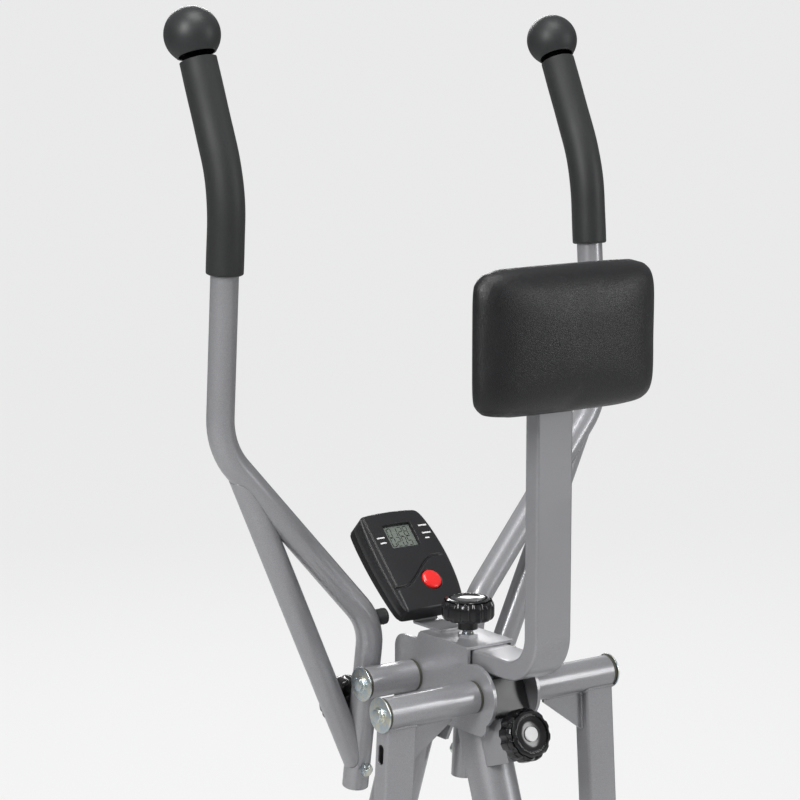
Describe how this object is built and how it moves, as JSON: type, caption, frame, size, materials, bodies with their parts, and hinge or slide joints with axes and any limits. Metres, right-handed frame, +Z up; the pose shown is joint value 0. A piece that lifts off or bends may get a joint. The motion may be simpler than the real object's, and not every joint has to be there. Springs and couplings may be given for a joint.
{
  "type": "cross walker trainer",
  "caption": "Standing cross-walker trainer with swinging foot arms and handlebars, sliding back pad, small console and folding A-frame.",
  "frame": {"origin": "middle of the footprint, on the floor", "axes": "+X to the user's right, +Y the way the user faces, +Z up"},
  "size_m": [0.584, 0.735, 1.5462],
  "materials": {
    "silver_paint": "satin-gloss silver-grey powder coat",
    "black_paint": "satin black paint",
    "zinc": "bright zinc plate",
    "end_cap_plastic": "moulded black, matt",
    "bush_plastic": "dark olive nylon",
    "console_plastic": "satin black ABS",
    "display_panel": "grey-green liquid crystal panel",
    "circuit_board": "green circuit board",
    "red_plastic": "glossy red",
    "knob_plastic": "gloss black thermoset",
    "black_vinyl": "pebbled black vinyl over foam",
    "pedal_plastic": "black moulded, ribbed",
    "grip_foam": "matt black foam",
    "ball_plastic": "satin black moulded"
  },
  "bodies": {
    "base": {"head_bracket": "silver_paint", "front_post": "silver_paint", "front_stabilizer": "silver_paint", "front_end_caps": "end_cap_plastic", "foot_axle": "zinc", "handle_axle": "zinc", "axle_fasteners": "zinc", "fold_pivot_bolt": "zinc", "console_case": "console_plastic", "console_back": "console_plastic", "console_display": "display_panel", "console_board": "circuit_board", "console_bracket": "silver_paint"},
    "rear_frame": {"rear_post": "silver_paint", "rear_stabilizer": "silver_paint", "rear_end_caps": "end_cap_plastic", "lock_channel": "silver_paint", "lock_tongue": "black_paint"},
    "lock_knob": {"lock_knob": "knob_plastic"},
    "pad_carriage": {"pad_post": "silver_paint", "pad_plate": "black_paint", "back_pad": "black_vinyl"},
    "pad_clamp": {"pad_clamp_knob": "knob_plastic"},
    "console_button": {"console_button": "red_plastic"},
    "foot_arm_left": {"foot_arm_left_tube": "silver_paint", "foot_arm_left_sleeve": "silver_paint", "foot_arm_left_bushes": "bush_plastic", "foot_arm_left_gusset": "silver_paint", "foot_arm_left_pedal_beam": "silver_paint", "foot_arm_left_pedal": "pedal_plastic"},
    "handlebar_left": {"handlebar_left_tube": "silver_paint", "handlebar_left_brace": "silver_paint", "handlebar_left_sleeve": "silver_paint", "handlebar_left_bushes": "bush_plastic", "handlebar_left_grip": "grip_foam", "handlebar_left_ball": "ball_plastic", "handlebar_left_cap": "ball_plastic", "handlebar_left_bolt": "zinc"},
    "tension_knob_left": {"tension_knob_left": "knob_plastic"},
    "foot_arm_right": {"foot_arm_right_tube": "silver_paint", "foot_arm_right_sleeve": "silver_paint", "foot_arm_right_bushes": "bush_plastic", "foot_arm_right_gusset": "silver_paint", "foot_arm_right_pedal_beam": "silver_paint", "foot_arm_right_pedal": "pedal_plastic"},
    "handlebar_right": {"handlebar_right_tube": "silver_paint", "handlebar_right_brace": "silver_paint", "handlebar_right_sleeve": "silver_paint", "handlebar_right_bushes": "bush_plastic", "handlebar_right_grip": "grip_foam", "handlebar_right_ball": "ball_plastic", "handlebar_right_cap": "ball_plastic", "handlebar_right_bolt": "zinc"},
    "tension_knob_right": {"tension_knob_right": "knob_plastic"}
  },
  "joints": [
    {"name": "rear_fold", "type": "hinge", "parent": "base", "child": "rear_frame", "pos_m": [0, -0.04421, 0.844], "axis": [1, 0, 0], "range_deg": [0, 40]},
    {"name": "lock_knob_turn", "type": "hinge", "parent": "rear_frame", "child": "lock_knob", "pos_m": [0, -0.11079, 0.81077], "axis": [0, -0.9397, 0.342], "continuous": true},
    {"name": "pad_slide", "type": "slide", "parent": "base", "child": "pad_carriage", "axis": [0, 1, 0], "range_m": [-0.025, 0.04]},
    {"name": "pad_clamp_turn", "type": "hinge", "parent": "base", "child": "pad_clamp", "pos_m": [0, -0.0323, 0.9085], "axis": [0, 0, 1], "continuous": true},
    {"name": "console_button_press", "type": "slide", "parent": "base", "child": "console_button", "axis": [0, 0.7046, -0.7096], "range_m": [0, 0.0018], "stiffness_N_per_m": 400},
    {"name": "foot_arm_left_swing", "type": "hinge", "parent": "base", "child": "foot_arm_left", "pos_m": [0, -0.0833, 0.852], "axis": [1, 0, 0], "range_deg": [-34.35, 25.65]},
    {"name": "handlebar_left_swing", "type": "hinge", "parent": "base", "child": "handlebar_left", "pos_m": [0, 0.0222, 0.852], "axis": [1, 0, 0], "range_deg": [-34.35, 25.65]},
    {"name": "tension_knob_left_turn", "type": "hinge", "parent": "handlebar_left", "child": "tension_knob_left", "pos_m": [-0.06678, 0.06354, 0.806], "axis": [-0.0025, 0.9814, 0.1918], "continuous": true},
    {"name": "foot_arm_right_swing", "type": "hinge", "parent": "base", "child": "foot_arm_right", "pos_m": [0, -0.0833, 0.852], "axis": [1, 0, 0], "range_deg": [-25.65, 34.35]},
    {"name": "handlebar_right_swing", "type": "hinge", "parent": "base", "child": "handlebar_right", "pos_m": [0, 0.0222, 0.852], "axis": [1, 0, 0], "range_deg": [-25.65, 34.35]},
    {"name": "tension_knob_right_turn", "type": "hinge", "parent": "handlebar_right", "child": "tension_knob_right", "pos_m": [0.06678, 0.05611, 0.80028], "axis": [0.0025, 0.9992, 0.0411], "continuous": true}
  ]
}
